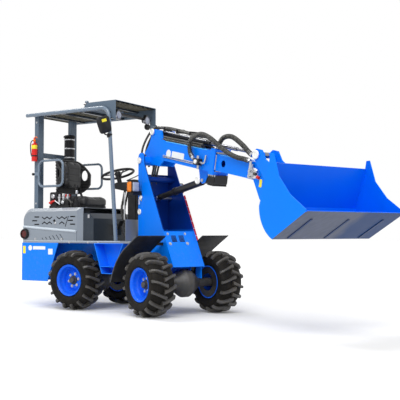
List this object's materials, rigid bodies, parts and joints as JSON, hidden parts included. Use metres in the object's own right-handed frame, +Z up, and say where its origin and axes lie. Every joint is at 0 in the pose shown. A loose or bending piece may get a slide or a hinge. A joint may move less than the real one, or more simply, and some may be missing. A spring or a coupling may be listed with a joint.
{
  "type": "telescopic wheel loader",
  "caption": "Small articulated loader with an open canopy, a telescopic boom over a mast on the front frame, a tilting bucket and lugged wheels.",
  "frame": {"origin": "middle of the bounding box on the ground, wheels standing on Z = 0", "axes": "+X forward along the rear frame, +Y to its left, +Z up"},
  "size_m": [4.6782, 2.2384, 2.318],
  "materials": {
    "blue_paint": "gloss",
    "grey_paint": "satin",
    "slate_paint": "satin",
    "black_steel": "satin",
    "tyre_rubber": "matt",
    "iron": "rough",
    "chrome_rod": "polished",
    "seat_vinyl": "grained",
    "black_plastic": "matt",
    "red_paint": "gloss",
    "pad_nylon": "matt",
    "bare_steel": "machined",
    "red_lens": "clear"
  },
  "bodies": {
    "rear_frame": {"rear_axle": "iron", "rear_frame": "blue_paint", "rear_body": "blue_paint", "counterweight": "blue_paint", "tow_hitch": "black_steel", "deck": "grey_paint", "engine_block": "iron", "engine_hood": "grey_paint", "hood_skirt": "grey_paint", "rear_lamps": "red_lens", "seat_console": "slate_paint", "seat_cushion": "seat_vinyl", "seat_backrest": "seat_vinyl", "canopy_rear_posts": "slate_paint", "canopy_front_posts": "slate_paint", "canopy_roof": "slate_paint", "canopy_visor": "slate_paint", "guard_loops": "slate_paint", "work_lamps": "black_plastic", "mirrors": "black_plastic", "fire_extinguisher": "red_paint", "air_cleaner": "black_plastic", "dash_column": "black_plastic", "steering_column": "black_plastic", "control_stick": "black_plastic", "steps": "blue_paint"},
    "steering_wheel": {"steering_wheel": "black_plastic"},
    "wheel_rear_right": {"tyre_rear_right": "tyre_rubber", "rim_rear_right": "blue_paint"},
    "wheel_rear_left": {"tyre_rear_left": "tyre_rubber", "rim_rear_left": "blue_paint"},
    "front_frame": {"front_axle": "iron", "mast": "blue_paint", "mast_cover": "blue_paint", "front_frame": "blue_paint", "mast_pins": "bare_steel", "fenders": "black_plastic", "head_lamps": "black_plastic"},
    "wheel_front_right": {"tyre_front_right": "tyre_rubber", "rim_front_right": "blue_paint"},
    "wheel_front_left": {"tyre_front_left": "tyre_rubber", "rim_front_left": "blue_paint"},
    "boom": {"outer_boom": "blue_paint", "boom_pins": "bare_steel", "slide_pads": "pad_nylon", "hose_housing": "black_steel", "boom_pipes": "bare_steel"},
    "telescope": {"inner_boom": "blue_paint", "hose_coupler": "bare_steel"},
    "bucket": {"quick_hitch": "blue_paint", "bucket_shell": "blue_paint", "bucket_sides": "blue_paint", "cutting_edge": "blue_paint", "wear_strips": "black_steel"},
    "lift_barrel": {"lift_barrel": "black_steel"},
    "lift_rod": {"lift_rod": "chrome_rod"},
    "tilt_barrel": {"tilt_barrel": "black_steel"},
    "tilt_stage": {"tilt_stage": "chrome_rod"},
    "tilt_rod": {"tilt_rod": "chrome_rod"}
  },
  "joints": [
    {"name": "articulation", "type": "hinge", "parent": "rear_frame", "child": "front_frame", "pos_m": [-0.76109, 0.53222, 0.34], "axis": [0, 0, 1], "range_deg": [-18.9, 61.1]},
    {"name": "steering_wheel_turn", "type": "hinge", "parent": "rear_frame", "child": "steering_wheel", "pos_m": [-1.20109, 0.53222, 1.53], "axis": [-0.2756, 0, 0.9613], "continuous": true},
    {"name": "wheel_rear_right_spin", "type": "hinge", "parent": "rear_frame", "child": "wheel_rear_right", "pos_m": [-1.44709, 0.10122, 0.33], "axis": [0, 1, 0], "continuous": true},
    {"name": "wheel_rear_left_spin", "type": "hinge", "parent": "rear_frame", "child": "wheel_rear_left", "pos_m": [-1.44709, 0.96322, 0.33], "axis": [0, 1, 0], "continuous": true},
    {"name": "wheel_front_right_spin", "type": "hinge", "parent": "front_frame", "child": "wheel_front_right", "pos_m": [-0.27904, -0.11576, 0.33], "axis": [0.36, 0.933, 0], "continuous": true},
    {"name": "wheel_front_left_spin", "type": "hinge", "parent": "front_frame", "child": "wheel_front_left", "pos_m": [0.03128, 0.68845, 0.33], "axis": [0.36, 0.933, 0], "continuous": true},
    {"name": "boom_lift", "type": "hinge", "parent": "front_frame", "child": "boom", "pos_m": [-0.63421, 0.48326, 1.644], "axis": [-0.36, -0.933, 0], "range_deg": [-26, 40]},
    {"name": "telescope_slide", "type": "slide", "parent": "boom", "child": "telescope", "axis": [0.9136, -0.3525, -0.2028], "range_m": [-0.45, 0.1]},
    {"name": "bucket_tilt", "type": "hinge", "parent": "telescope", "child": "bucket", "pos_m": [1.31548, -0.26906, 1.23165], "axis": [0.36, 0.933, 0], "range_deg": [-5, 105]},
    {"name": "lift_barrel_swing", "type": "hinge", "parent": "boom", "child": "lift_barrel", "pos_m": [0.23052, 0.14959, 1.38567], "axis": [-0.36, -0.933, 0], "range_deg": [-3.51, 2.28]},
    {"name": "lift_rod_slide", "type": "slide", "parent": "lift_barrel", "child": "lift_rod", "axis": [-0.9202, 0.3551, -0.165], "range_m": [-0.17792, 0.27367]},
    {"name": "tilt_barrel_swing", "type": "hinge", "parent": "boom", "child": "tilt_barrel", "pos_m": [-0.5495, 0.45058, 1.95914], "axis": [0.36, 0.933, 0], "range_deg": [-0.021, 0.428]},
    {"name": "tilt_stage_slide", "type": "slide", "parent": "tilt_barrel", "child": "tilt_stage", "axis": [0.9107, -0.3514, -0.2173], "range_m": [-0.4546, 0.1011]},
    {"name": "tilt_rod_slide", "type": "slide", "parent": "tilt_stage", "child": "tilt_rod", "axis": [0.9107, -0.3514, -0.2173], "range_m": [-0.0319, 0.66787]}
  ],
  "couplings": [
    {"joint": "lift_barrel_swing", "follows": "boom_lift", "ratio": -0.08697},
    {"joint": "lift_rod_slide", "follows": "boom_lift", "m_per_rad": 0.38798},
    {"joint": "tilt_barrel_swing", "follows": "bucket_tilt", "ratio": 0.004},
    {"joint": "tilt_stage_slide", "follows": "telescope_slide", "ratio": 1},
    {"joint": "tilt_rod_slide", "follows": "bucket_tilt", "m_per_rad": 0.36078}
  ]
}
